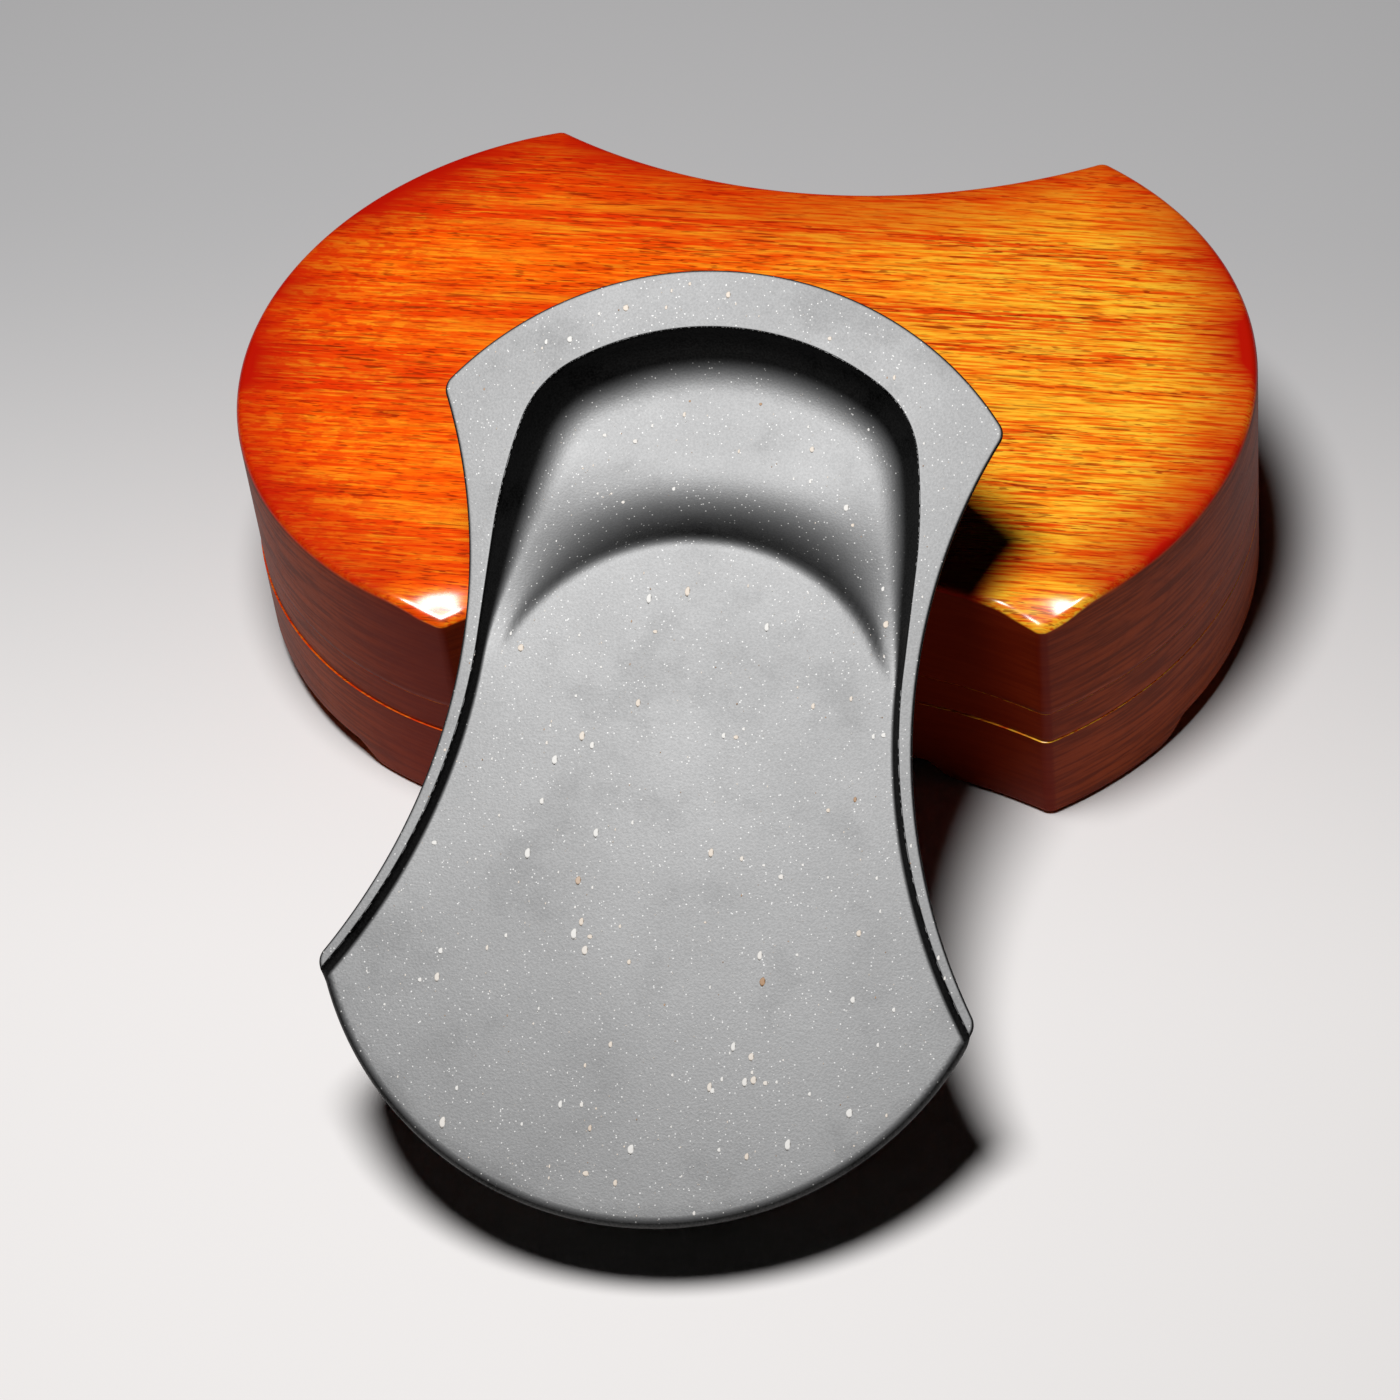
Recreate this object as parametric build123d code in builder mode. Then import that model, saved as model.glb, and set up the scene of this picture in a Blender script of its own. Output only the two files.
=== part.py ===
from build123d import *
from math import atan2, cos, degrees, radians, sin, sqrt, tan
import os

# A fan shaped ink stone of slate and the fitted hardwood case it is kept in.
# The case stands closed on the floor and the stone leans on the lid's hollow front edge,
# with its wide end, the toe, on the floor.
# Millimetres and degrees. The case is drawn with its long axis along X, its wide end at -X.

# Stone: a fan of four arcs, two bowed ends and two hollow sides
stone_thickness = 22.0
stone_chord = 97.5
stone_half_wide = 52.7
stone_half_narrow = 46.5
toe_rise = 37.2
crown_rise = 24.1
waist_rise = 12.4
stone_corner = 3.0
under_corner = 1.5
stone_wall_angle = 15.0

# Grinding pool, open at the toe, and the ink well behind its round lip
pool_depth = 2.0
rim_waist = 2.4
rim_toe = 1.6
rim_crown = 10.0
pool_straight = 18.5
shoulder_round = 18.0
shoulder_ease = 99.5
ease_turn = 11.3
well_depth = 9.0
well_corner = 4.0
well_length = 35.5
lip_radius = 36.0
lip_slope_run = 9.0
lip_round = 3.0

# Case: how much larger it is than the stone, and its own heights
case_chord_extra = 2.5
case_wide_wall = 9.0
case_narrow_wall = 10.6
case_toe_extra = 10.1
case_crown_extra = 7.4
case_waist_extra = 0.6
stone_clearance = 1.0
case_corner = 2.5
foot_height = 3.0
foot_reach = 17.5
foot_edge_round = 1.2
foot_shoulder_run = 5.0
base_floor = 9.0
seam_height = 18.0
seam_chamfer = 0.4
lip_height = 4.0
lip_thickness = 3.5
lip_play = 0.3
lid_rim_height = 6.8
lid_roof = 9.5
lid_edge_round = 1.5
head_room = 4.0

# Lean: slope of the stone's back, its turn on that slope, and where it meets the lid
lean_angle = 26.9
lean_turn = 6.5
lean_place = -4.2
lean_gap = 0.45

overrun = 10.0

# Fan outlines
def fan_corners(chord, half_wide, half_narrow):
    """Corners in drawing order: wide end right and left, narrow end left and right."""
    return [
        Vector(-chord / 2, -half_wide),
        Vector(-chord / 2, half_wide),
        Vector(chord / 2, half_narrow),
        Vector(chord / 2, -half_narrow),
    ]


def arc_circle(start, end, rise):
    """Centre, signed radius and outward side of the arc from start to end."""
    chord = end - start
    radius = ((chord.length / 2) ** 2 + rise**2) / (2 * rise)
    side = chord.normalized().rotate(Axis.Z, 90)
    return (start + end) * 0.5 + side * (rise - radius), radius, side


def meeting_point(first, second, grow, near):
    """Where two neighbouring arcs, both moved outwards by grow, meet."""
    reach_1 = abs(first[1] + grow)
    reach_2 = abs(second[1] + grow)
    line = second[0] - first[0]
    along = (reach_1**2 - reach_2**2 + line.length**2) / (2 * line.length)
    aside = sqrt(reach_1**2 - along**2)
    base = first[0] + line.normalized() * along
    offset = line.normalized().rotate(Axis.Z, 90) * aside
    return min((base + offset, base - offset), key=lambda point: (point - near).length)


def fan_circles(fan):
    """The four arcs of a fan: toe, left side, crown, right side."""
    chord, half_wide, half_narrow, wide_rise, narrow_rise, side_rise = fan
    corners = fan_corners(chord, half_wide, half_narrow)
    rises = (wide_rise, -side_rise, narrow_rise, -side_rise)
    return [arc_circle(corners[i], corners[(i + 1) % 4], rises[i]) for i in range(4)]


def draw_fan(fan, grow, corner_round, shift=0.0):
    """Draw a fan, moved outwards by grow, as a face in the open sketch."""
    circles = fan_circles(fan)
    old_corners = fan_corners(*fan[:3])
    move = Vector(shift, 0)
    corners = [meeting_point(circles[i - 1], circles[i], grow, old_corners[i]) + move for i in range(4)]
    middles = [centre + side * (radius + grow) + move for centre, radius, side in circles]
    with BuildLine() as outline:
        for i in range(4):
            ThreePointArc(corners[i], middles[i], corners[(i + 1) % 4])
    make_face(outline.edges())
    fillet(vertices(), corner_round)


stone_fan = (stone_chord, stone_half_wide, stone_half_narrow, toe_rise, crown_rise, waist_rise)
case_fan = (
    stone_chord + case_chord_extra,
    stone_half_wide + stone_clearance + case_wide_wall,
    stone_half_narrow + stone_clearance + case_narrow_wall,
    toe_rise + case_toe_extra,
    crown_rise + case_crown_extra,
    waist_rise + case_waist_extra,
)
# The hollow is centred between the case's two ends
hollow_shift = (case_crown_extra - case_toe_extra) / 2
hollow_corner = stone_corner + stone_clearance
hollow_floor = foot_height + base_floor
hollow_top = hollow_floor + stone_thickness + head_room
lid_seam = seam_height + lid_rim_height
lid_height = hollow_top + lid_roof

# The stone's left side and toe, the case's front side, and how far the stone's underside is drawn in
side_centre, side_radius, _ = fan_circles(stone_fan)[1]
toe_centre, toe_radius, _ = fan_circles(stone_fan)[0]
front_centre, front_radius, _ = fan_circles(case_fan)[3]
undercut = stone_thickness * tan(radians(stone_wall_angle))


def side_point(x, inwards):
    """Point of the stone's left side arc at x, moved inwards."""
    reach = abs(side_radius) + inwards
    return Vector(x, side_centre.Y - sqrt(reach**2 - (x - side_centre.X) ** 2))


def lid_edge(x):
    """Point at x on the centre line of the lid's rounded front edge."""
    reach = abs(front_radius) + lid_edge_round
    y = front_centre.Y + sqrt(reach**2 - (x - front_centre.X) ** 2)
    return Vector(x, y, lid_height - lid_edge_round)


# Where the stone lies: its underside touches the lid's edge near both of its own side edges,
# and the arc at its toe just touches the floor
lean = radians(lean_angle)
turn = radians(lean_turn)
seat_height = lid_height - lid_edge_round + (lid_edge_round + lean_gap) * cos(lean)
slope_length = seat_height / sin(lean)
toe_to_seat = slope_length - (toe_radius - undercut)
half_touch = side_point(toe_centre.X + toe_to_seat / cos(turn), undercut).Y
touch_left = lid_edge(lean_place - half_touch)
touch_right = lid_edge(lean_place + half_touch)
level = (touch_right - touch_left).normalized()
uphill = level.rotate(Axis.Z, 90) * cos(lean) + Vector(0, 0, 1) * sin(lean)
stone_normal = level.cross(uphill)
stone_way = uphill * cos(turn) + level * sin(turn)
seat = (touch_left + touch_right) * 0.5 + stone_normal * (lid_edge_round + lean_gap)
toe_seat = seat - uphill * toe_to_seat - level * (toe_to_seat * tan(turn))
stone_origin = toe_seat - stone_way * toe_centre.X + stone_normal * stone_thickness
stone_face = Plane(origin=stone_origin, x_dir=stone_way, z_dir=stone_normal)

# Pool outline: half of it, on the side with positive Y
pool_start = side_point(-stone_chord / 2 - overrun, rim_toe)
pool_middle = side_point((pool_start.X + side_centre.X) / 2, (rim_toe + rim_waist) / 2)
pool_waist = side_point(side_centre.X, rim_waist)
pool_top = stone_chord / 2 + crown_rise - rim_crown

toe_end = -stone_chord / 2 - toe_rise - overrun


def shoulder_angle(start, heading):
    """Turn of the shoulder's arc up to where the pool's top arc carries on from it, in degrees."""
    centre = start + heading.rotate(Axis.Z, -90) * shoulder_round
    room = pool_top - shoulder_round
    top_middle = (room**2 - centre.X**2 - centre.Y**2) / (2 * (room - centre.X))
    outwards = centre - Vector(top_middle, 0)
    return degrees(atan2(outwards.X, outwards.Y)) - degrees(atan2(-heading.Y, heading.X))


# The pool's floor ends in a round lip, and the well lies between the lip and the far wall
lip_middle = pool_top - well_length - lip_radius
lip_centre = stone_origin + stone_way * lip_middle
lip_side = Plane(origin=lip_centre, x_dir=stone_way, z_dir=stone_way.cross(stone_normal))


# Feet: where each begins and ends along the case, and across it
foot_outer = case_fan[0] / 2 + foot_reach
foot_inner = case_fan[0] / 2 - foot_reach
foot_aside = case_fan[2] - foot_reach
far_end = case_fan[0] + case_fan[3]


def draw_slot(start, end):
    """Draw the open space under the base from one foot to the next, with curved shoulders."""
    run = foot_shoulder_run
    with BuildLine() as outline:
        Bezier((start, 0), (start + run / 2, 0), (start + run / 2, foot_height), (start + run, foot_height))
        Line((start + run, foot_height), (end - run, foot_height))
        Bezier((end - run, foot_height), (end - run / 2, foot_height), (end - run / 2, 0), (end, 0))
        Polyline((end, 0), (end, -overrun), (start, -overrun), (start, 0))
    make_face(outline.edges())


# What is carved out of the stone: the whole outline down to the well's floor, less the pool's floor
with BuildPart() as hollow:
    with BuildSketch(stone_face.offset(overrun)):
        with BuildLine() as pool_line:
            ThreePointArc(pool_start, pool_middle, pool_waist)
            straight = Line(pool_waist, Vector(pool_waist.X + pool_straight, pool_waist.Y))
            ease = JernArc(straight @ 1, straight % 1, shoulder_ease, -ease_turn)
            shoulder = JernArc(ease @ 1, ease % 1, shoulder_round, -shoulder_angle(ease @ 1, ease % 1))
            mirror(pool_line.line, about=Plane.XZ)
            ThreePointArc(shoulder @ 1, Vector(pool_top, 0), Vector((shoulder @ 1).X, -(shoulder @ 1).Y))
            Polyline(
                pool_start,
                Vector(toe_end, pool_start.Y),
                Vector(toe_end, -pool_start.Y),
                Vector(pool_start.X, -pool_start.Y),
            )
        make_face()
    extrude(amount=-well_depth - overrun)
    with BuildSketch(stone_face.offset(-pool_depth)):
        with Locations((lip_middle, 0)):
            Rectangle(
                lip_middle - toe_end + overrun,
                2 * (stone_half_wide + overrun),
                align=(Align.MAX, Align.CENTER),
            )
    extrude(amount=-well_depth, mode=Mode.SUBTRACT)
    well_floor = hollow.faces().sort_by(Axis(lip_centre, stone_normal))[0]
    fillet(well_floor.edges().sort_by(Axis(lip_centre, stone_way))[1:], well_corner)
    with BuildSketch(lip_side):
        with BuildLine():
            Polyline(
                (0, -pool_depth),
                (lip_radius, -pool_depth),
                (lip_radius + lip_slope_run, -well_depth),
                (lip_radius + lip_slope_run, -well_depth - overrun),
                (0, -well_depth - overrun),
                close=True,
            )
        make_face()
        fillet(vertices().group_by(Axis.Y)[-1].sort_by(Axis.X)[-1], lip_round)
    revolve(axis=Axis(lip_centre, stone_normal), mode=Mode.SUBTRACT)

# Ink stone
with BuildPart() as ink_stone:
    with BuildSketch(stone_face):
        draw_fan(stone_fan, 0, stone_corner)
    with BuildSketch(stone_face.offset(-stone_thickness)):
        draw_fan(stone_fan, -undercut, under_corner)
    loft(ruled=True)
    add(hollow.part, mode=Mode.SUBTRACT)

# Case base: tray with four feet cut from the same block and a lip for the lid
with BuildPart() as case_base:
    with BuildSketch():
        draw_fan(case_fan, 0, case_corner)
    extrude(amount=seam_height)
    fillet(case_base.faces().sort_by(Axis.Z)[0].edges(), foot_edge_round)
    chamfer(case_base.faces().sort_by(Axis.Z)[-1].edges(), seam_chamfer)
    with BuildSketch(Plane.XZ):
        draw_slot(-far_end, -foot_outer)
        draw_slot(-foot_inner, foot_inner)
        draw_slot(foot_outer, far_end)
    extrude(amount=far_end, both=True, mode=Mode.SUBTRACT)
    with BuildSketch(Plane.YZ):
        draw_slot(-foot_aside, foot_aside)
    extrude(amount=far_end, both=True, mode=Mode.SUBTRACT)
    with BuildPart() as lip:
        with BuildSketch(Plane.XY.offset(seam_height)):
            draw_fan(stone_fan, stone_clearance + lip_thickness, hollow_corner + lip_thickness, hollow_shift)
        extrude(amount=lip_height)
        chamfer(lip.faces().sort_by(Axis.Z)[-1].edges(), seam_chamfer)
    with BuildSketch(Plane.XY.offset(hollow_floor)):
        draw_fan(stone_fan, stone_clearance, hollow_corner, hollow_shift)
    extrude(amount=seam_height + lip_height - hollow_floor, mode=Mode.SUBTRACT)

# Lid rim: the strip glued under the lid, with a rebate over the base's lip
with BuildPart() as lid_rim:
    with BuildSketch(Plane.XY.offset(seam_height)):
        draw_fan(case_fan, 0, case_corner)
    extrude(amount=lid_rim_height)
    chamfer(lid_rim.faces().sort_by(Axis.Z)[0].edges(), seam_chamfer)
    with BuildSketch(Plane.XY.offset(seam_height)):
        draw_fan(stone_fan, stone_clearance, hollow_corner, hollow_shift)
    extrude(amount=lid_rim_height, mode=Mode.SUBTRACT)
    with BuildSketch(Plane.XY.offset(seam_height)):
        grow = stone_clearance + lip_thickness + lip_play
        draw_fan(stone_fan, grow, hollow_corner + lip_thickness + lip_play, hollow_shift)
    extrude(amount=lip_height + lip_play, mode=Mode.SUBTRACT)

# Lid: a block hollowed from below
with BuildPart() as case_lid:
    with BuildSketch(Plane.XY.offset(lid_seam)):
        draw_fan(case_fan, 0, case_corner)
    extrude(amount=lid_height - lid_seam)
    fillet(case_lid.faces().sort_by(Axis.Z)[-1].edges(), lid_edge_round)
    with BuildSketch(Plane.XY.offset(lid_seam)):
        draw_fan(stone_fan, stone_clearance, hollow_corner, hollow_shift)
    extrude(amount=hollow_top - lid_seam, mode=Mode.SUBTRACT)

# The origin is on the floor, under the middle of the whole set
pieces = {"ink_stone": ink_stone, "case_base": case_base, "lid_rim": lid_rim, "case_lid": case_lid}
spread = Compound(children=[copy_of.part.moved(Location()) for copy_of in pieces.values()]).bounding_box()
to_middle = Location((-spread.center().X, -spread.center().Y, 0))

os.makedirs("parts", exist_ok=True)
for name, piece in pieces.items():
    piece.part.move(to_middle)
    piece.part.label = name
    export_step(piece.part, f"parts/{name}.step")

print("Set moved by", -spread.center().X, -spread.center().Y, "lowest point", spread.min.Z)
print("Stone face middle", stone_origin + to_middle.position, "normal", stone_normal, "length axis", stone_way)
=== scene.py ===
import math

import bmesh
import bpy
import numpy as np
from mathutils import Matrix, Vector
from mathutils.geometry import delaunay_2d_cdt


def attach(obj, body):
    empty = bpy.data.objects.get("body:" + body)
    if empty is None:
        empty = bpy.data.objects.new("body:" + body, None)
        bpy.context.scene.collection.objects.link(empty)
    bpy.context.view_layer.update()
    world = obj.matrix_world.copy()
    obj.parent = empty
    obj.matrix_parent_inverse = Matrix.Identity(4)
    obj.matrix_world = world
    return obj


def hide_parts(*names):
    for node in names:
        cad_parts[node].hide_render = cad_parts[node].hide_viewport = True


bl_info = {
    "name": "Ink Stone and Fitted Case",
    "version": (1, 0, 0),
    "blender": (4, 5, 0),
    "location": "3D View > Sidebar > Ink Stone",
    "description": "Builds a fan shaped slate ink stone, its lacquered case and a plain studio around them",
    "category": "Add Mesh",
}

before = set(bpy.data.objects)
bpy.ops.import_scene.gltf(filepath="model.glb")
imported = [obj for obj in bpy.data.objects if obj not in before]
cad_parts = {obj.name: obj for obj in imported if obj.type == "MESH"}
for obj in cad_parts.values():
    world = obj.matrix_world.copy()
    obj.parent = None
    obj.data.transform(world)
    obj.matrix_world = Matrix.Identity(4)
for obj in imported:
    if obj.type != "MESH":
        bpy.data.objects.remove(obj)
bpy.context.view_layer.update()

MM = 0.001
# Points nearer to each other than this are one: in metres on a mesh, in millimetres in a flat fill
WELD = 1e-7
FLAT_WELD = 1e-5

# Outlines, in millimetres: chord, half widths at the wide and the narrow end, and the rise of the
# toe's, the crown's and the two sides' arcs
STONE_FAN = (97.5, 52.7, 46.5, 37.2, 24.1, 12.4)
CASE_FAN = (100.0, 62.7, 58.1, 47.3, 31.5, 13.0)

# How many points stand along a fan's four sides and each corner, and along the parts of half the
# stone's opening: toe to waist, straight, ease, shoulder and crown
SIDE_POINTS = (200, 140, 160, 140)
CORNER_POINTS = 12
MOUTH_POINTS = (120, 30, 60, 80, 160)

# Where the fans lie: the case on the floor, and the stone's rim plane
CASE_MIDDLE = Vector((7.9, 49.11977, 0.0))
HOLLOW_SHIFT = -1.35
LID_DIP_START = 16.0
STONE_MIDDLE = Vector((3.62503, -36.2729, 55.752))
STONE_NORMAL = Vector((0.038079, -0.450829, 0.891798)).normalized()
STONE_WAY = Vector((0.038226, 0.892449, 0.449526)).normalized()
STONE_LEFT = STONE_NORMAL.cross(STONE_WAY)

# Where the lamp and the camera stand, in metres, and how the camera is turned
LAMP_PLACE = (-0.052, -0.07, 0.73)
CAMERA_PLACE = (0.130749, -0.538187, 0.599756)
CAMERA_RIGHT = Vector((0.98507, 0.14689, -0.08976)).normalized()
CAMERA_BACK = CAMERA_RIGHT.cross(Vector((-0.0466, 0.72953, 0.68236))).normalized()


# Fan outlines
def turned_left(way):
    """A flat direction, turned a quarter turn to the left."""
    return np.array((-way[1], way[0]))


def fan_circles(fan):
    """The four circles of a fan, for its toe, left side, crown and right side: centre and signed radius."""
    chord, half_wide, half_narrow, toe_rise, crown_rise, side_rise = fan
    reach = chord / 2
    corners = ((-reach, -half_wide), (-reach, half_wide), (reach, half_narrow), (reach, -half_narrow))
    corners = np.array(corners)
    circles = []
    for index, rise in enumerate((toe_rise, -side_rise, crown_rise, -side_rise)):
        start = corners[index]
        end = corners[(index + 1) % 4]
        half = np.linalg.norm(end - start) / 2
        radius = (half**2 + rise**2) / (2 * rise)
        middle = (start + end) / 2 + turned_left((end - start) / (2 * half)) * (rise - radius)
        circles.append((middle, radius))
    return corners, circles


def meeting_point(first, first_reach, second, second_reach, near):
    """Where two circles meet, at the meeting point nearer to near."""
    line = second - first
    length = np.linalg.norm(line)
    way = line / length
    along = (first_reach**2 - second_reach**2 + length**2) / (2 * length)
    aside = math.sqrt(max(first_reach**2 - along**2, 0.0))
    both = [first + way * along + turned_left(way) * aside * sign for sign in (-1, 1)]
    return min(both, key=lambda point: np.linalg.norm(point - near))


def fan_arcs(fan, grow, corner):
    """The eight arcs of a fan moved outwards by grow: each side, then the round corner after it."""
    corners, circles = fan_circles(fan)
    starts = []
    ends = []
    rounds = []
    for index in range(4):
        before, before_radius = circles[index - 1]
        after, after_radius = circles[index]
        before_reach = abs(before_radius + grow - corner)
        after_reach = abs(after_radius + grow - corner)
        middle = meeting_point(before, before_reach, after, after_reach, corners[index])
        before_way = (middle - before) / np.linalg.norm(middle - before)
        after_way = (middle - after) / np.linalg.norm(middle - after)
        ends.append(before + before_way * abs(before_radius + grow))
        starts.append(after + after_way * abs(after_radius + grow))
        rounds.append(middle)
    arcs = []
    for index in range(4):
        following = (index + 1) % 4
        arcs.append((circles[index][0], starts[index], ends[following]))
        arcs.append((rounds[following], ends[following], starts[following]))
    return arcs


def half_turn(angle):
    """The same angle, within half a turn either way."""
    return (angle + math.pi) % (2 * math.pi) - math.pi


def arc_angles(arc):
    """The angle at which an arc starts, and how far it turns."""
    middle, start, end = arc
    first = math.atan2(start[1] - middle[1], start[0] - middle[0])
    return first, half_turn(math.atan2(end[1] - middle[1], end[0] - middle[0]) - first)


def arc_point(arc, share):
    """Points of one arc, at shares of its length."""
    middle = arc[0]
    first, sweep = arc_angles(arc)
    angle = first + sweep * np.asarray(share)
    radius = np.linalg.norm(arc[1] - middle)
    return np.stack((middle[0] + radius * np.cos(angle), middle[1] + radius * np.sin(angle)), axis=-1)


def fan_points(fan, grow, corner, shift=0.0):
    """A fan's outline as points, always as many on each side, so that two fans can be joined."""
    parts = []
    for index, arc in enumerate(fan_arcs(fan, grow, corner)):
        count = CORNER_POINTS if index % 2 else SIDE_POINTS[index // 2]
        parts.append(arc_point(arc, np.arange(count) / count))
    points = np.concatenate(parts)
    points[:, 0] += shift
    return points


def at_height(points, height):
    """Flat points lifted to a height, or to one height each."""
    heights = np.broadcast_to(np.asarray(height, float), (len(points),))
    return np.column_stack((points, heights))


# Meshes
def mesh_object(name, points, faces, material):
    """An object at the origin whose mesh has these points, in millimetres, and these faces."""
    mesh = bpy.data.meshes.new(name)
    mesh.from_pydata((np.asarray(points) * MM).tolist(), [], faces)
    mesh.validate()
    mesh.materials.append(material)
    mesh.shade_smooth()
    piece = bpy.data.objects.new(name, mesh)
    bpy.context.scene.collection.objects.link(piece)
    return piece


def bridge(first, second, count):
    """Faces between two rings of count points that start at these numbers."""
    faces = []
    for index in range(count):
        following = (index + 1) % count
        faces.append((first + index, first + following, second + following, second + index))
    return faces


def spine_rings(ring, steps):
    """Rings that lead from an outline in to a line along its middle, to close a flat face."""
    spine_share = 0.62
    crowding = 1.3
    rings = []
    for step in range(1, steps + 1):
        share = (step / steps) ** crowding
        inner = ring.copy()
        inner[:, 0] *= 1 - (1 - spine_share) * share
        inner[:, 1] *= 1 - share
        rings.append(inner)
    return rings


def join_rings(rings, closed):
    """Points and faces of a skin over rings of as many points each, closed on itself or not."""
    count = len(rings[0])
    faces = []
    for index in range(len(rings) - 1):
        faces += bridge(index * count, (index + 1) * count, count)
    if closed:
        faces += bridge((len(rings) - 1) * count, 0, count)
    return np.concatenate(rings), faces


def join_edge(points, triangles, loop, rings, downwards):
    """Points and faces of a filled outline, with rings that lead on from its edge, down or up."""
    count = len(loop)
    first = len(points)
    faces = [face if downwards else face[::-1] for face in triangles.tolist()]
    for index in range(count):
        following = (index + 1) % count
        side = (loop[following], first + following, first + index)
        faces.append((loop[index], *(side[::-1] if downwards else side)))
    skin, sides = join_rings(rings, False)
    for side in sides:
        faces.append([first + number for number in (side[::-1] if downwards else side)])
    return np.concatenate((points, skin)), faces


def merge_doubles(piece):
    """Merge points that lie together and turn all faces outwards."""
    work = bmesh.new()
    work.from_mesh(piece.data)
    bmesh.ops.remove_doubles(work, verts=work.verts, dist=WELD)
    bmesh.ops.dissolve_degenerate(work, edges=work.edges, dist=WELD)
    bmesh.ops.recalc_face_normals(work, faces=work.faces)
    work.to_mesh(piece.data)
    work.free()


def read_points(source, name):
    """The places or the normals of a mesh's points."""
    flat = np.empty(len(source) * 3, dtype=np.float32)
    source.foreach_get(name, flat)
    return flat.reshape(-1, 3)


def store(piece, name, values):
    """Store a number on each point of a piece."""
    attribute = piece.data.attributes.new(name, "FLOAT", "POINT")
    attribute.data.foreach_set("value", values.astype(np.float32))


def store_steepness(piece, outline):
    """Store each point's lean, its share of the rim and its distance from the outline."""
    rim_low = -1.2
    rim_high = -0.3
    store(piece, "steep", 1 - read_points(piece.data.vertex_normals, "vector")[:, 2])
    points = read_points(piece.data.vertices, "co") / MM
    store(piece, "rim", smooth_share(points[:, 2], rim_low, rim_high))
    store(piece, "inner", path_distance(points[:, :2], outline, True))


def place(piece, origin, x_way, y_way, z_way):
    """Move a piece's own points from its drawing frame to the shared frame."""
    matrix = Matrix((x_way, y_way, z_way)).transposed().to_4x4()
    matrix.translation = origin * MM
    piece.data.transform(matrix)


def path_distance(points, path, closed):
    """Distance of each point from a path, positive on the path's right side."""
    ends = np.roll(path, -1, axis=0)
    starts = path
    if not closed:
        ends = ends[:-1]
        starts = starts[:-1]
    ways = ends - starts
    tiny = 1e-12
    block = 1500
    lengths = np.maximum((ways**2).sum(axis=1), tiny)
    result = np.empty(len(points))
    for first in range(0, len(points), block):
        some = points[first : first + block]
        to_point = some[:, None, :] - starts[None, :, :]
        along = np.clip((to_point * ways).sum(axis=2) / lengths, 0, 1)
        gap = to_point - along[:, :, None] * ways
        squares = (gap**2).sum(axis=2)
        nearest = squares.argmin(axis=1)
        rows = np.arange(len(some))
        near_gap = gap[rows, nearest]
        near_way = ways[nearest]
        side = near_way[:, 1] * near_gap[:, 0] - near_way[:, 0] * near_gap[:, 1]
        result[first : first + block] = np.sqrt(squares[rows, nearest]) * np.where(side >= 0, 1, -1)
    return result


def fill_flat(paths, loose):
    """Triangles over all these paths, each with a flag that says if it is closed, and loose points."""
    points = []
    edges = []
    for path, closed in paths:
        first = len(points)
        points += [Vector(point) for point in path]
        edges += [(first + index, first + index + 1) for index in range(len(path) - 1)]
        if closed:
            edges.append((first + len(path) - 1, first))
    points += [Vector(point) for point in loose]
    result = delaunay_2d_cdt(points, edges, [], 0, FLAT_WELD, False)
    flat = np.array([tuple(point) for point in result[0]])
    return flat, np.array(result[2])


def keep_inside(flat, triangles, outline):
    """The triangles whose middle is inside an outline, with only the points that they use."""
    middles = flat[triangles].mean(axis=1)
    kept = triangles[path_distance(middles, outline, True) > 0]
    used, numbers = np.unique(kept, return_inverse=True)
    return flat[used], numbers.reshape(-1, 3)


def outer_loop(triangles):
    """The points around the edge of a filled outline, in order."""
    pairs = np.concatenate((triangles[:, (0, 1)], triangles[:, (1, 2)], triangles[:, (2, 0)]))
    known = {(a, b) for a, b in pairs.tolist()}
    following = {a: b for a, b in known if (b, a) not in known}
    start = next(iter(following))
    loop = [start]
    while following[loop[-1]] != start:
        loop.append(following[loop[-1]])
    return loop


# Materials
def fill(tree, made, inputs):
    """Give a node's sockets their links or their plain values."""
    for key, value in inputs.items():
        socket = made.inputs[key]
        if isinstance(value, bpy.types.NodeSocket):
            tree.links.new(value, socket)
        elif socket.type == "RGBA":
            socket.default_value = (*value[:3], 1.0)
        else:
            socket.default_value = value


def node(tree, kind, settings=None, inputs=None):
    """Add a node, with its own settings and its linked or plain inputs."""
    made = tree.nodes.new(kind)
    for key, value in (settings or {}).items():
        setattr(made, key, value)
    fill(tree, made, inputs or {})
    return made


def new_material(name):
    """An empty node material, its tree and its shader."""
    material = bpy.data.materials.new(name)
    material.use_nodes = True
    tree = material.node_tree
    return material, tree, tree.nodes["Principled BSDF"]


def cloud(tree, vector, scale, detail, roughness=0.5):
    """Soft noise between nought and one."""
    inputs = {"Vector": vector, "Scale": scale, "Detail": detail, "Roughness": roughness}
    return node(tree, "ShaderNodeTexNoise", inputs=inputs).outputs["Fac"]


def ramp(tree, value, low, high, start=0.0, end=1.0):
    """A value between low and high, spread from start to end."""
    inputs = {"Value": value, "From Min": low, "From Max": high, "To Min": start, "To Max": end}
    settings = {"interpolation_type": "SMOOTHSTEP", "clamp": True}
    return node(tree, "ShaderNodeMapRange", settings, inputs).outputs["Result"]


def mixed(tree, share, first, second):
    """Two colours mixed by a share."""
    inputs = {0: share, 6: first, 7: second}
    return node(tree, "ShaderNodeMix", {"data_type": "RGBA"}, inputs).outputs[2]


def layered(tree, colour, layers):
    """A colour with others laid over it, each with its share."""
    for share, tone in layers:
        colour = mixed(tree, share, colour, tone)
    return colour


def times(tree, first, second, operation="MULTIPLY"):
    """Two values multiplied, or joined by another operation."""
    return node(tree, "ShaderNodeMath", {"operation": operation}, {0: first, 1: second}).outputs[0]


def stored(tree, name):
    """A number that is stored on the mesh."""
    return node(tree, "ShaderNodeAttribute", {"attribute_name": name}).outputs["Fac"]


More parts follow.
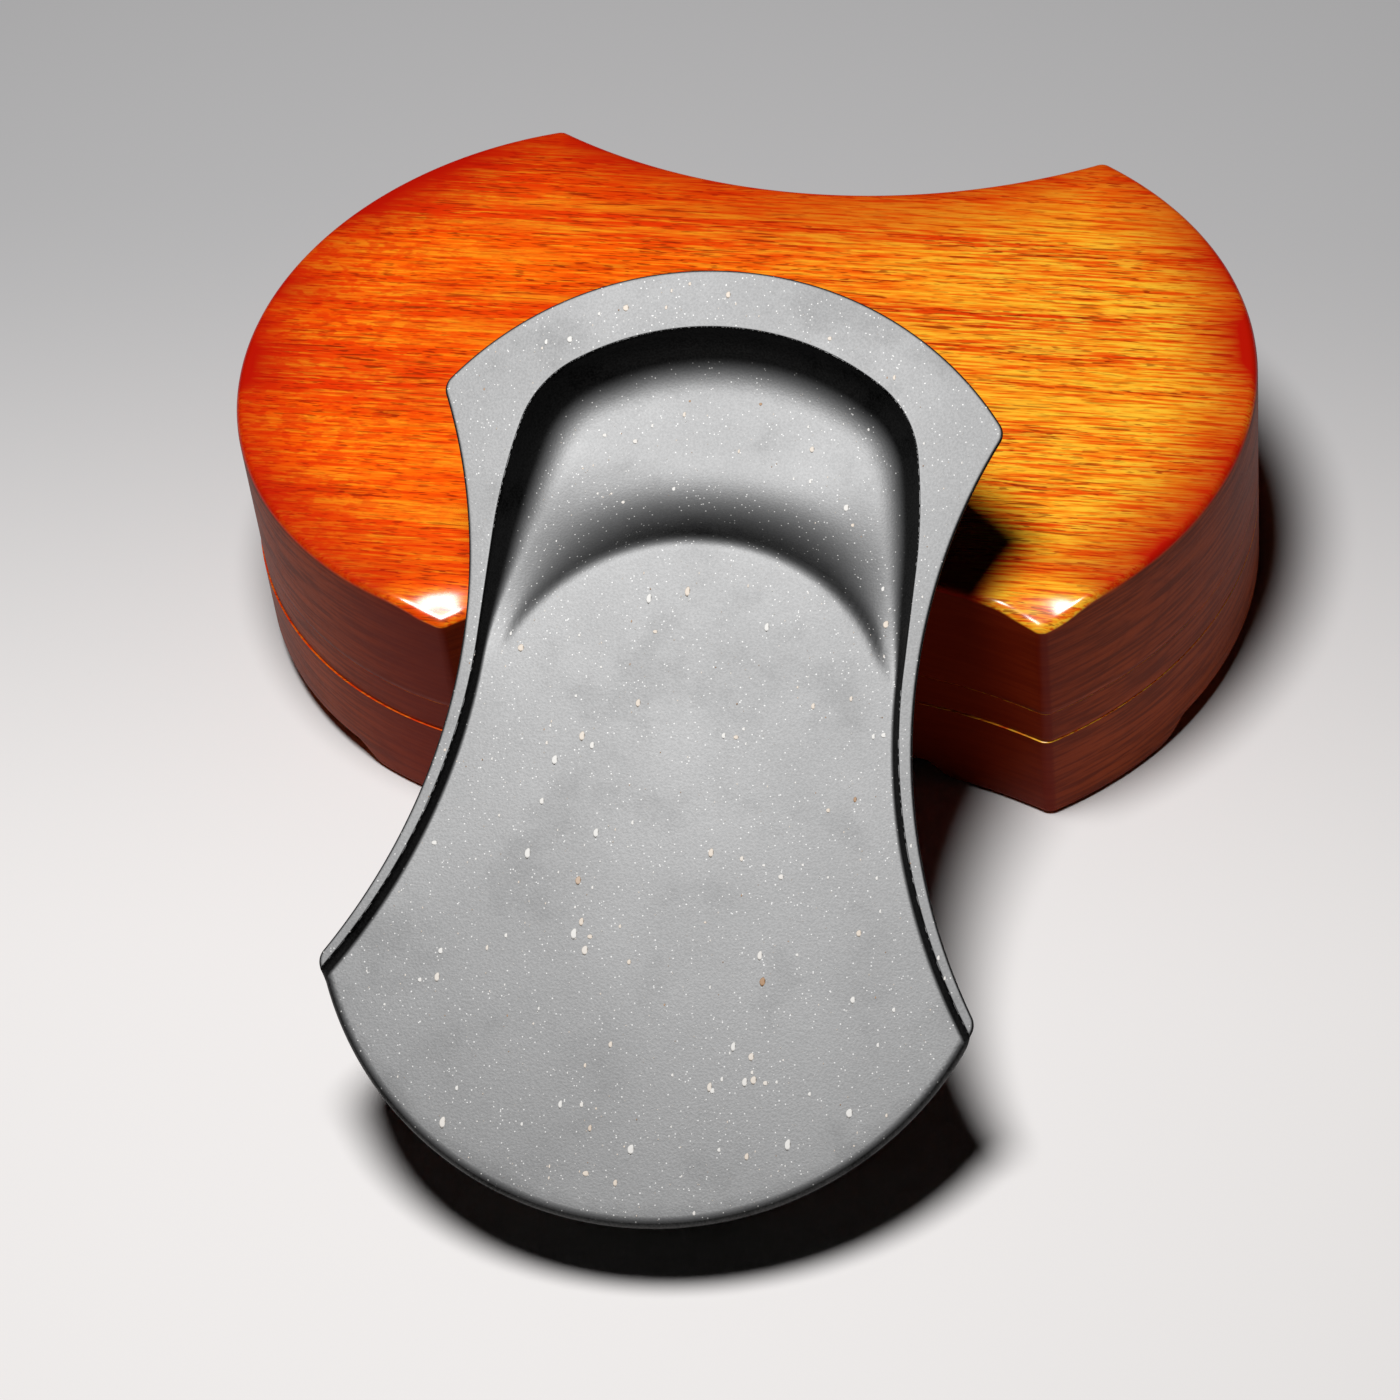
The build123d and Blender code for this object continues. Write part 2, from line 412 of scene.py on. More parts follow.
def parts_of(tree, vector):
    """A vector's three numbers."""
    return node(tree, "ShaderNodeSeparateXYZ", inputs={"Vector": vector}).outputs


def raised(tree, height, strength, depth):
    """A surface from which a fine pattern stands out."""
    inputs = {"Strength": strength, "Distance": depth, "Height": height}
    return node(tree, "ShaderNodeBump", inputs=inputs).outputs["Normal"]


def slate_material(finish):
    """Dark slate, rubbed to a satin sheen, with pale mineral dust in it and painted shade on its steep
    faces.
    """
    material, tree, shader = new_material("satin_slate")
    source = node(tree, "ShaderNodeTexCoord").outputs["Object"]
    broad = cloud(tree, source, 30.0, 4.0)
    tint = mixed(tree, ramp(tree, broad, 0.3, 0.7), finish.slate_dark, finish.slate_light)
    common = 0.4
    for scale, reach in ((1400.0, 0.2), (800.0, 0.13)):
        inputs = {"Vector": source, "Scale": scale, "Randomness": 1.0}
        dust = node(tree, "ShaderNodeTexVoronoi", inputs=inputs)
        chance = node(tree, "ShaderNodeTexWhiteNoise", inputs={"Vector": dust.outputs["Position"]})
        chosen = times(tree, chance.outputs["Value"], common, "LESS_THAN")
        grain = ramp(tree, dust.outputs["Distance"], reach / 2, reach, 1.0, 0.0)
        tint = mixed(tree, times(tree, grain, chosen), tint, finish.slate_dust)
    # Painted shade: steep faces (the walls of the pool, the well and the undercut outer wall) get a near
    # black colour and a weaker reflection.
    carved = ramp(tree, stored(tree, "steep"), 0.03, 0.24)
    worn = cloud(tree, source, 75.0, 5.0, 0.6)
    on_rim = times(tree, stored(tree, "rim"), 0.07)
    matt = times(tree, ramp(tree, worn, 0.5, 0.7, 0.0, 0.07), on_rim, "ADD")
    dull = times(tree, times(tree, carved, 0.40), matt, "ADD")
    fine = cloud(tree, source, 2600.0, 2.0, 0.6)
    shine = ramp(tree, fine, 0.3, 0.7, 0.47, 0.55)
    look = {
        "Base Color": mixed(tree, carved, tint, finish.slate_painted_shade),
        "Roughness": ramp(tree, broad, 0.25, 0.75, 0.53, 0.50),
        "Specular IOR Level": times(tree, shine, dull, "SUBTRACT"),
        "IOR": 2.2,
        "Normal": raised(tree, fine, 0.3, 0.06 * MM),
    }
    fill(tree, shader, look)
    return material


def fleck_material(finish):
    """Pale mineral flecks, cream to peach and now and then tan."""
    material, tree, shader = new_material("slate_fleck")
    tone = stored(tree, "tone")
    pale = mixed(tree, ramp(tree, tone, 0.35, 0.8), finish.fleck_white, finish.fleck_cream)
    tint = mixed(tree, ramp(tree, tone, 0.9, 0.94), pale, finish.fleck_tan)
    fill(tree, shader, {"Base Color": tint, "Roughness": 0.55})
    return material


def drawn_out(tree, source, scale, turn=(0.0, 0.0, 0.0)):
    """Coordinates turned, and drawn out by a scale in each direction."""
    inputs = {"Vector": source, "Rotation": turn, "Scale": scale}
    return node(tree, "ShaderNodeMapping", {"vector_type": "TEXTURE"}, inputs).outputs["Vector"]


def wood_top(tree, finish, source, threads, grain):
    """Colour of the lid's top: broad bands, gold threads, painted glinting threads at the narrow end, dark
    pores and a redder edge.
    """
    place = parts_of(tree, source)
    red_end, red_start, gold_full = -80.0 * MM, -30.0 * MM, 60.0 * MM
    back_edge, back_fade = 108.0 * MM, 72.0 * MM
    bands = grain(6.0, 44.0, 3.0)
    stripes = grain(16.0, 260.0, 3.0, 0.6)
    pores = grain(8.0, 3000.0, 1.0, 0.4)
    long_pores = grain(13.0, 1500.0, 1.0, 0.4)
    mottle = grain(2.0, 700.0, 2.0, 0.6)
    forwards = ramp(tree, place["Y"], back_edge, back_fade, 0.25, 1.0)
    rightwards = times(tree, forwards, ramp(tree, place["X"], red_start, gold_full))
    left_end = ramp(tree, place["X"], red_start, red_end, 0.1, 0.7)
    band_gold = times(tree, rightwards, ramp(tree, bands, 0.38, 0.58, 0.0, 0.45))
    stripe_gold = times(tree, rightwards, ramp(tree, stripes, 0.36, 0.58, 0.1, 0.75))
    # Painted sheen: glinting yellow threads over the narrow right end, where the top also grows more golden
    # towards the right and the front.
    shine = times(tree, rightwards, ramp(tree, threads, 0.45, 0.62, 0.0, 0.7))
    mottled = times(tree, left_end, ramp(tree, mottle, 0.45, 0.6))
    short = times(tree, ramp(tree, pores, 0.56, 0.66), ramp(tree, stripes, 0.6, 0.35, 0.3, 0.8))
    long = times(tree, ramp(tree, long_pores, 0.64, 0.70), ramp(tree, bands, 0.65, 0.4, 0.2, 0.8))
    wavy = times(tree, stored(tree, "edge_shade"), ramp(tree, bands, 0.35, 0.65, 1.25, 0.75))
    layers = (
        (ramp(tree, bands, 0.36, 0.6), finish.wood_orange),
        (ramp(tree, stripes, 0.42, 0.66, 0.0, 0.45), finish.wood_gold),
        (band_gold, finish.wood_gold),
        (stripe_gold, finish.wood_gold),
        (ramp(tree, threads, 0.5, 0.68, 0.0, 0.6), finish.wood_gold),
        (shine, finish.wood_painted_glint),
        (ramp(tree, threads, 0.49, 0.32, 0.0, 0.75), finish.wood_red),
        (ramp(tree, stripes, 0.44, 0.3, 0.0, 0.3), finish.wood_streak),
        (mottled, finish.wood_red),
        (short, finish.wood_pore),
        (long, finish.wood_pore),
        (wavy, finish.wood_edge),
    )
    return layered(tree, finish.wood_red, layers)


def wood_side(tree, finish, source, normal):
    """Colour of the upright sides, painted darker than the top as shade: level streaks, faint ring lines and
    painted shade on the hollow front.
    """
    streaks = cloud(tree, drawn_out(tree, source, (16.0, 16.0, 1.0)), 1300.0, 3.0, 0.6)
    rings = times(tree, cloud(tree, drawn_out(tree, source, (2.2, 2.2, 1.0)), 34.0, 1.0, 0.4), 9.0)
    ring = times(tree, times(tree, rings, 1.0, "FRACT"), 0.5, "SUBTRACT")
    layers = (
        (ramp(tree, streaks, 0.35, 0.65), finish.wood_side),
        (ramp(tree, times(tree, ring, 0.0, "ABSOLUTE"), 0.12, 0.0, 0.0, 0.35), finish.wood_side_dark),
        # Painted shade: faces turned to the front, chiefly the hollow side under the leaning stone, are
        # darkened.
        (ramp(tree, normal["Y"], -0.7, -0.97, 0.0, 0.85), finish.wood_front_painted_shade),
    )
    return layered(tree, finish.wood_side_dark, layers)


def wood_material(finish):
    """Lacquered red hardwood, its grain along the case, with glossy worn front corners and upright sides
    painted darker as shade.
    """
    material, tree, shader = new_material("lacquered_redwood")
    coordinates = node(tree, "ShaderNodeTexCoord").outputs
    source = coordinates["Object"]
    normal = parts_of(tree, coordinates["Normal"])
    turn = (0.0, math.radians(1.0), math.radians(-2.0))

    def grain(lengthwise, scale, detail, roughness=0.5):
        way = drawn_out(tree, source, (lengthwise, 1.0, 1.0), turn)
        return cloud(tree, way, scale, detail, roughness)

    threads = grain(18.0, 1700.0, 2.0, 0.6)
    top = wood_top(tree, finish, source, threads, grain)
    side = wood_side(tree, finish, source, normal)
    # Painted shade: upright faces take the darker, browner side colour in place of the top's.
    upright = ramp(tree, normal["Z"], 0.5, 0.15)
    lacquer = ramp(tree, stored(tree, "front_corner"), 0.0, 1.0, 0.35, 1.0)
    side_lacquer = (0.06, 0.06, 0.06)
    look = {
        "Base Color": mixed(tree, upright, top, side),
        "Roughness": ramp(tree, threads, 0.3, 0.7, 0.5, 0.58),
        "Specular IOR Level": 0.05,
        "Coat Weight": mixed(tree, upright, lacquer, side_lacquer),
        "Coat Roughness": 0.2,
        "Normal": raised(tree, threads, 0.15, 0.08 * MM),
    }
    fill(tree, shader, look)
    return material


def floor_material(finish):
    """Plain pale table top, painted greyer towards the back as shade."""
    material, tree, shader = new_material("pale_floor")
    source = node(tree, "ShaderNodeTexCoord").outputs["Object"]
    fade_start, fade_end = -60.0 * MM, 150.0 * MM
    # Painted shade: the table top darkens towards the back.
    back = ramp(tree, parts_of(tree, source)["Y"], fade_start, fade_end)
    tint = mixed(tree, back, finish.floor, finish.floor_back_painted_shade)
    fill(tree, shader, {"Base Color": tint, "Roughness": 0.7, "Specular IOR Level": 0.1})
    return material


# Sizes and colours that a user may change
def size(name, description, value):
    """A length in millimetres."""
    return bpy.props.FloatProperty(name=name, description=description, default=value, min=0.0)


def colour(name, description, value):
    """A colour in linear light."""
    return bpy.props.FloatVectorProperty(
        name=name, description=description, default=value, subtype="COLOR", size=3, min=0.0, max=1.0
    )


class StoneSizes(bpy.types.PropertyGroup):
    """Sizes of the ink stone, in millimetres."""

    thickness: size("Thickness", "From the rim down to the underside", 22.0)
    wall_angle: size("Wall angle", "How far the outer wall is undercut, in degrees", 15.0)
    corner: size("Corner", "Radius of the rim's four corners", 3.0)
    under_corner: size("Under corner", "Radius of the underside's four corners", 1.5)
    pool_depth: size("Pool depth", "From the rim down to the grinding floor", 2.0)
    well_depth: size("Well depth", "From the rim down to the ink well's floor", 9.0)
    rim_waist: size("Waist rim", "Width of the rim at the waist", 2.4)
    rim_toe: size("Toe rim", "Width of the rim at the toe's corners", 1.6)
    rim_crown: size("Crown rim", "Width of the rim at the crown", 10.0)
    pool_straight: size("Straight side", "Length of the opening's straight sides", 18.5)
    shoulder_round: size("Shoulder", "Radius of the opening's shoulders", 18.0)
    shoulder_ease: size("Shoulder ease", "Radius of the long curve before a shoulder", 99.5)
    lip_radius: size("Lip radius", "Radius of the round lip between pool and well", 34.5)
    lip_shift: size("Lip shift", "How far the lip lies to the left of the middle", -1.0)
    well_length: size("Well length", "From the lip to the well's far wall", 36.0)
    slope_run: size("Lip slope", "Length of the slope from the lip to the well's floor", 15.5)
    lip_soft: size("Lip round", "Half the width of the lip's round edge", 1.1)
    horn_foot: size("Horn foot", "From the side wall to the well's deepest line beside the lip", 4.2)
    horn_start: size("Horn start", "From the waist up to where the well begins beside the lip", 3.0)
    horn_run: size("Horn run", "Length over which the well deepens beside the lip", 41.0)
    rim_round: size("Rim round", "Radius of the rim's outer edge", 0.45)
    toe_round: size("Toe round", "Radius of the worn edge at the toe", 1.45)
    mouth_round: size("Mouth round", "Radius of the opening's upper edge", 0.22)
    pool_fillet: size("Pool fillet", "Width of the hollow curve at the foot of the pool's wall", 1.3)
    well_fillet: size("Well fillet", "Width of the hollow curve at the foot of the well's wall", 9.5)


class CaseSizes(bpy.types.PropertyGroup):
    """Sizes of the wooden case, in millimetres."""

    corner: size("Corner", "Radius of the case's four upright corners", 2.5)
    hollow_corner: size("Hollow corner", "Radius of the hollow's corners", 4.0)
    clearance: size("Clearance", "Room around the stone in the closed case", 1.0)
    foot: size("Foot height", "Height of the feet", 3.0)
    foot_reach: size("Foot reach", "From an upright corner to the foot's shoulders", 17.5)
    foot_round: size("Foot round", "Radius of the base's lower edge", 1.2)
    shoulder_run: size("Foot shoulder", "Length of the curve from a foot up to the base", 5.0)
    floor_top: size("Tray floor", "Height of the tray's floor", 12.0)
    seam: size("Seam", "Height of the joint where the case opens", 18.0)
    seam_chamfer: size("Seam chamfer", "Chamfer on the base's upper edge", 0.05)
    lip: size("Lip", "Height of the base's lip", 4.0)
    lip_thickness: size("Lip thickness", "Thickness of the base's lip", 3.5)
    lip_play: size("Lip play", "Play between the lip and its rebate", 0.3)
    glue_line: size("Glue line", "Height of the joint between the lid and its rim", 24.8)
    glue_groove: size("Glue groove", "Chamfer above that joint", 0.06)
    lid_inset: size("Lid inset", "How far the lid stands back from the base, all round", 0.16)
    lid_shift: size("Lid shift", "How far the lid sits to the right on the base", 0.14)
    rim_chamfer: size("Rim chamfer", "Chamfer of the lid rim's lower edge", 0.2)
    dip: size("Corner dip", "How far the top is worn down at the two front corners", 2.7)
    dip_reach: size("Corner dip reach", "How far that wear reaches from a corner", 8.5)
    height: size("Height", "Height of the closed case", 47.5)
    hollow_top: size("Hollow top", "Height of the lid's inner ceiling", 38.0)
    edge_round: size("Top round", "Radius of the lid's upper edge", 1.5)
    shade_reach: size("Edge shade", "Width of the redder band along the lid's edge", 17.0)


class Finish(bpy.types.PropertyGroup):
    """Colours of the slate, the wood and the floor."""

    slate_dark: colour("Slate", "Darker tone of the slate", (0.040, 0.0405, 0.042))
    slate_light: colour("Slate light", "Lighter tone of the slate", (0.055, 0.0555, 0.057))
    # Painted shade on the stone's steep faces, in place of the shade that falls there.
    slate_painted_shade: colour("Slate carved", "Tone of the carved walls, stained by ink", (0.003, 0.003, 0.003))
    slate_dust: colour("Slate dust", "Finest pale grains", (0.66, 0.65, 0.63))
    fleck_white: colour("Fleck white", "Palest flecks", (0.80, 0.78, 0.75))
    fleck_cream: colour("Fleck cream", "Cream flecks", (0.76, 0.66, 0.56))
    fleck_tan: colour("Fleck tan", "Rare tan flecks", (0.42, 0.24, 0.12))
    wood_orange: colour("Wood orange", "Main tone of the wood", (1.0, 0.118, 0.0006))
    wood_red: colour("Wood red", "Redder bands of the wood", (0.80, 0.036, 0.0005))
    wood_gold: colour("Wood gold", "Lightest figure of the wood", (1.0, 0.37, 0.012))
    # Painted sheen: the glinting threads at the narrow end.
    wood_painted_glint: colour("Wood bright", "Brightest threads at the narrow end", (1.0, 0.62, 0.04))
    wood_streak: colour("Wood streak", "Dark streaks along the grain", (0.46, 0.022, 0.0005))
    wood_pore: colour("Wood pore", "Dark pores of the wood", (0.26, 0.012, 0.0005))
    wood_edge: colour("Wood edge", "Tone of the wood near its edges", (0.48, 0.006, 0.0003))
    # Painted shade on the hollow front side, under the leaning stone.
    wood_front_painted_shade: colour("Wood front", "Redder tone of the hollow front side", (0.17, 0.008, 0.0005))
    # Painted shade: both side colours are darker and browner than the top's; the darker one also draws the
    # ring lines.
    wood_side: colour("Wood side", "Tone of the case's upright sides", (0.34, 0.050, 0.009))
    wood_side_dark: colour("Wood side dark", "Darker tone of the upright sides", (0.17, 0.024, 0.005))
    floor: colour("Floor", "Pale table top", (0.87, 0.845, 0.835))
    # Painted shade: the table top's darker tone towards the back.
    floor_back_painted_shade: colour("Floor back", "Table top towards the back", (0.54, 0.535, 0.54))


# Ink stone
def opening_path(stone):
    """The edge of the stone's opening, from the toe round the well and back to the toe."""
    chord = STONE_FAN[0]
    _, circles = fan_circles(STONE_FAN)
    middle, radius = circles[1]
    spare = 10.0

    def side_at(x, inwards):
        reach = abs(radius) + inwards
        return np.array((x, middle[1] - math.sqrt(reach**2 - (x - middle[0]) ** 2)))

    def arc(circle, first, last, count):
        return arc_point((circle, first, last), np.linspace(0, 1, count))[1:]

    start = side_at(-chord / 2 - spare, stone.rim_toe)
    halfway = side_at((start[0] + middle[0]) / 2, (stone.rim_toe + stone.rim_waist) / 2)
    waist = side_at(middle[0], stone.rim_waist)
    first, second = waist - start, halfway - start
    square = np.array((first @ first, second @ second)) / 2
    centre = start + np.linalg.solve(np.array((first, second)), square)
    straight_end = waist + np.array((stone.pool_straight, 0.0))
    ease_turn = math.radians(11.3)
    ease_centre = straight_end + np.array((0.0, -stone.shoulder_ease))
    ease_way = np.array((math.sin(ease_turn), math.cos(ease_turn)))
    ease_end = ease_centre + ease_way * stone.shoulder_ease
    shoulder = ease_end - ease_way * stone.shoulder_round
    top = chord / 2 + STONE_FAN[4] - stone.rim_crown
    room = top - stone.shoulder_round
    crown = np.array(((room**2 - shoulder @ shoulder) / (2 * (room - shoulder[0])), 0.0))
    crown_way = (shoulder - crown) / np.linalg.norm(shoulder - crown)
    shoulder_end = shoulder + crown_way * stone.shoulder_round
    on_side, on_straight, on_ease, on_shoulder, on_crown = MOUTH_POINTS
    half = [start[None, :], arc(centre, start, waist, on_side)]
    half.append(np.linspace(waist, straight_end, on_straight)[1:])
    half.append(arc(ease_centre, straight_end, ease_end, on_ease))
    half.append(arc(shoulder, ease_end, shoulder_end, on_shoulder))
    half.append(arc(crown, shoulder_end, np.array((top, 0.0)), on_crown))
    left = np.concatenate(half)
    right = left[-2::-1] * np.array((1.0, -1.0))
    return np.concatenate((left, right)), top


def moved_path(path, inwards):
    """An open path moved to its right."""
    ways = np.gradient(path, axis=0)
    ways /= np.linalg.norm(ways, axis=1)[:, None]
    return path + np.column_stack((ways[:, 1], -ways[:, 0])) * inwards


def smooth_share(values, low, high):
    """Nought below low, one above high, and a smooth curve between."""
    share = np.clip((values - low) / (high - low), 0, 1)
    return share**2 * (3 - 2 * share)


def quarter_drop(distance, radius):
    """How far a round edge has dropped at a distance from it."""
    inside = np.clip(distance / radius, 0, 1)
    return radius * (1 - np.sqrt(1 - (1 - inside) ** 2))


class StoneTop:
    """Height of the stone's upper side at any place, in the rim's plane."""

    pool_curve = 1.6
    well_curve = 2.5
    wall_slope = 11.0

    def __init__(self, stone):
        self.stone = stone
        self.outline = fan_points(STONE_FAN, 0.0, stone.corner)
        self.mouth, top = opening_path(stone)
        self.lip_centre = np.array((top - stone.well_length - stone.lip_radius, stone.lip_shift))

    def well_share(self, points, inside):
        """How deep the floor lies, away from the walls: nought in the pool, one at the well's floor."""
        stone = self.stone
        past = np.linalg.norm(points - self.lip_centre, axis=1) - stone.lip_radius
        past = np.where(points[:, 0] < self.lip_centre[0], -stone.lip_soft, past)
        rising = np.maximum(past + stone.lip_soft, 0) ** 2 / (4 * stone.lip_soft)
        soft = np.where(past < stone.lip_soft, rising, past)
        room = soft + np.maximum(inside - stone.horn_foot, 0) + stone.lip_soft / 2
        run = (stone.slope_run**-4 + room**-4) ** -0.25
        left = 1 - np.clip(soft / run, 0, 1)
        up = smooth_share(points[:, 0], stone.horn_start, stone.horn_start + stone.horn_run)
        return (1 - left**3) * up

    def heights(self, points):
        """Height of the finished surface, nought at the rim."""
        stone = self.stone
        inside = path_distance(points, self.mouth, False)
        from_edge = path_distance(points, self.outline, True)
        deep = self.well_share(points, inside)
        floor = stone.pool_depth + (stone.well_depth - stone.pool_depth) * deep
        run = stone.pool_fillet + (stone.well_fillet - stone.pool_fillet) * deep
        roundness = self.pool_curve + (self.well_curve - self.pool_curve) * deep
        left = 1 - np.clip(inside / run, 0, 1)
        bowl = floor * (1 - left**roundness) ** (1 / roundness)
        wall = stone.mouth_round + inside * self.wall_slope
        brow = quarter_drop(-inside, stone.mouth_round)
        depth = np.where(inside > 0, np.minimum(wall, bowl), brow)
        in_pool = np.clip(inside / stone.pool_fillet, 0, 1)
        edge_round = stone.rim_round + (stone.toe_round - stone.rim_round) * in_pool
        return -depth - quarter_drop(np.maximum(from_edge, 0), edge_round)


class INKSTONE_OT_stone(bpy.types.Operator):
    """Make the slate ink stone with its pool and its well"""

    bl_idname = "inkstone.stone"
    bl_label = "Ink stone"

    def execute(self, context):
        stone = context.scene.stone_sizes
        top = StoneTop(stone)
        edge_steps = (0.0, 0.03, 0.1, 0.2, 0.32, 0.45, 0.7, 1.1, 1.7)
        paths = [(fan_points(STONE_FAN, -step, stone.corner - step), True) for step in edge_steps]
        mouth_steps = (-1.2, -0.5, -0.22, -0.16, -0.09, -0.03, 0.0, 0.03, 0.06, 0.11, 0.18, 0.3, 0.4, 0.5)
        mouth_steps += (0.65, 0.85, 1.1, 1.4, 1.8, 2.3, 2.9, 3.6, 4.4, 5.2, 6.1, 7.0, 8.0, 9.0, 10.2, 11.4)
        paths += [(moved_path(top.mouth, step), False) for step in mouth_steps]
        loose = self.grid(top, max(mouth_steps), -min(mouth_steps), max(edge_steps))
        flat, triangles = fill_flat(paths, loose)
        flat, triangles = keep_inside(flat, triangles, top.outline)
        points = np.column_stack((flat, top.heights(flat)))
        piece = self.close(stone, points, triangles)
        place(piece, STONE_MIDDLE, STONE_WAY, STONE_LEFT, STONE_NORMAL)
        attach(piece, "stone")
        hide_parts("ink_stone")
        return {"FINISHED"}

    def grid(self, top, mouth_reach, rim_reach, edge_reach):
        """Loose points over the floor and the rim, closer together in the well."""
        low = top.outline.min(axis=0)
        high = top.outline.max(axis=0)
        well_step = 1.0
        pool_step = 2.0
        kept = []
        for step, deep in ((well_step, True), (pool_step, False)):
            across, along = np.meshgrid(np.arange(low[0], high[0], step), np.arange(low[1], high[1], step))
            points = np.column_stack((across.ravel(), along.ravel()))
            points[:, 0] += (np.arange(len(points)) // across.shape[1] % 2) * step / 2
            inside = path_distance(points, top.mouth, False)
            from_edge = path_distance(points, top.outline, True)
            in_well = points[:, 0] > top.lip_centre[0] + top.stone.lip_radius / 3
            clear = (inside > mouth_reach + step / 2) | (inside < -rim_reach - step / 2)
            chosen = clear & (from_edge > edge_reach + step / 2) & (in_well == deep)
            kept.append(points[chosen])
        return np.concatenate(kept)

    def close(self, stone, points, triangles):
        """Add the undercut wall and the underside."""
        loop = outer_loop(triangles)
        rim = points[loop]
        undercut = stone.thickness * math.tan(math.radians(stone.wall_angle))
        above = fan_arcs(STONE_FAN, 0.0, stone.corner)
        below = fan_arcs(STONE_FAN, -undercut, stone.under_corner)
        feet = np.array([self.foot(point, above, below) for point in rim[:, :2]])
        under_round = 0.6
        rings = []
        for share in (0.12, 0.3, 0.5, 0.7, 0.85, 0.95):
            depth = -rim[:, 2] + (stone.thickness - under_round + rim[:, 2]) * share
            level = (depth / stone.thickness)[:, None]
            rings.append(np.column_stack((rim[:, :2] * (1 - level) + feet * level, -depth)))
        inwards = np.linalg.norm(feet, axis=1)[:, None]
        for turn in (0.0, 30.0, 60.0, 90.0):
            angle = math.radians(turn)
            pull = under_round * (1 - math.cos(angle))
            height = -stone.thickness + under_round * (1 - math.sin(angle))
            rings.append(at_height(feet * (1 - pull / inwards), height))
        rings.append(at_height(feet * (1 - 2 * under_round / inwards), -stone.thickness))
        points, faces = join_edge(points, triangles, loop, rings, True)
        first = len(points) - len(loop)
        faces.append(tuple(range(len(points) - 1, first - 1, -1)))
        piece = mesh_object("slate_stone", points, faces, slate_material(finish()))
        merge_doubles(piece)
        store_steepness(piece, fan_points(STONE_FAN, 0.0, stone.corner))
        return piece

    def foot(self, point, above, below):
        """The place on the underside's outline that belongs to a point of the rim's outline."""
        best = None
        for upper, lower in zip(above, below):
            first, sweep = arc_angles(upper)
            here = math.atan2(point[1] - upper[0][1], point[0] - upper[0][0])
            turned = half_turn(here - first)
            share = min(max(turned / sweep, 0.0), 1.0)
            gap = np.linalg.norm(arc_point(upper, share) - point)
            if best is None or gap < best[0]:
                best = (gap, arc_point(lower, share))
        return best[1]


